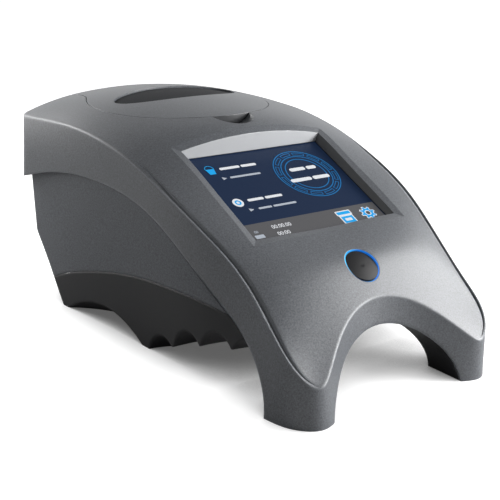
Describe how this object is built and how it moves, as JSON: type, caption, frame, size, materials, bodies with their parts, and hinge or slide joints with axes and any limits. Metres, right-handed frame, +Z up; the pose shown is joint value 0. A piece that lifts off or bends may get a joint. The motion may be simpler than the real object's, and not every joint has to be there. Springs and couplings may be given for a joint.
{
  "type": "photometer",
  "caption": "Handheld bench photometer with a hinged round lid over a spinning disc chamber, a tilted touch display, a power button and an arched rubber grip.",
  "frame": {"origin": "On the bench, under the middle of the case's length and width.", "axes": "+X to the right seen from the user, +Y towards the hinge at the rear, +Z up."},
  "size_m": [0.1264, 0.2106, 0.0976],
  "materials": {
    "cover_plastic": "fine speckled texture",
    "label_plastic": "bare satin plate",
    "grip_rubber": "matt moulded rubber",
    "seal_rubber": "soft black",
    "black_plastic": "dull black against stray light",
    "hub_plastic": "plain grey",
    "steel": "bright zinc",
    "strap_metal": "bent strip",
    "button_plastic": "polished dome",
    "ring_plastic": "clear blue light guide",
    "switch_plastic": "plain",
    "screen_glass": "dark glass",
    "optics_glass": "clear",
    "panel_plastic": "lit panel in dark blue",
    "board_laminate": "green solder mask",
    "battery_wrap": "shrink wrap"
  },
  "bodies": {
    "case": {"top_cover": "cover_plastic", "lower_housing": "cover_plastic", "grip_base": "grip_rubber", "lid_gasket": "seal_rubber", "hinge_pins": "steel", "light_ring": "ring_plastic", "button_switch": "switch_plastic", "button_board": "board_laminate", "touch_glass": "screen_glass", "display_gasket": "seal_rubber", "lcd_panel": "panel_plastic", "display_bracket": "black_plastic", "display_screws": "steel", "disc_chamber": "black_plastic", "chamber_screws": "steel", "spin_motor": "steel", "motor_screws": "steel", "spindle_bearing": "steel", "optics_block": "black_plastic", "optics_window": "optics_glass", "optics_board": "board_laminate", "main_board": "board_laminate", "board_screws": "steel", "battery": "battery_wrap", "battery_clamp": "strap_metal", "usb_port": "steel", "port_board": "board_laminate", "case_screws": "steel"},
    "lid": {"lid": "cover_plastic", "label_plate": "label_plastic", "lid_liner": "black_plastic"},
    "button": {"power_button": "button_plastic"},
    "spindle": {"spindle_shaft": "steel", "disc_hub": "hub_plastic"}
  },
  "joints": [
    {"name": "lid_hinge", "type": "hinge", "parent": "case", "child": "lid", "pos_m": [0, 0.098, 0.0869], "axis": [-1, 0, 0], "range_deg": [0, 100]},
    {"name": "power_button_press", "type": "slide", "parent": "case", "child": "button", "axis": [0, 0.5736, -0.8192], "range_m": [0, 0.0006], "stiffness_N_per_m": 1500, "springref_m": -0.0002},
    {"name": "spindle_spin", "type": "hinge", "parent": "case", "child": "spindle", "pos_m": [0, 0.0555, 0.066], "axis": [0, 0, 1], "continuous": true}
  ]
}
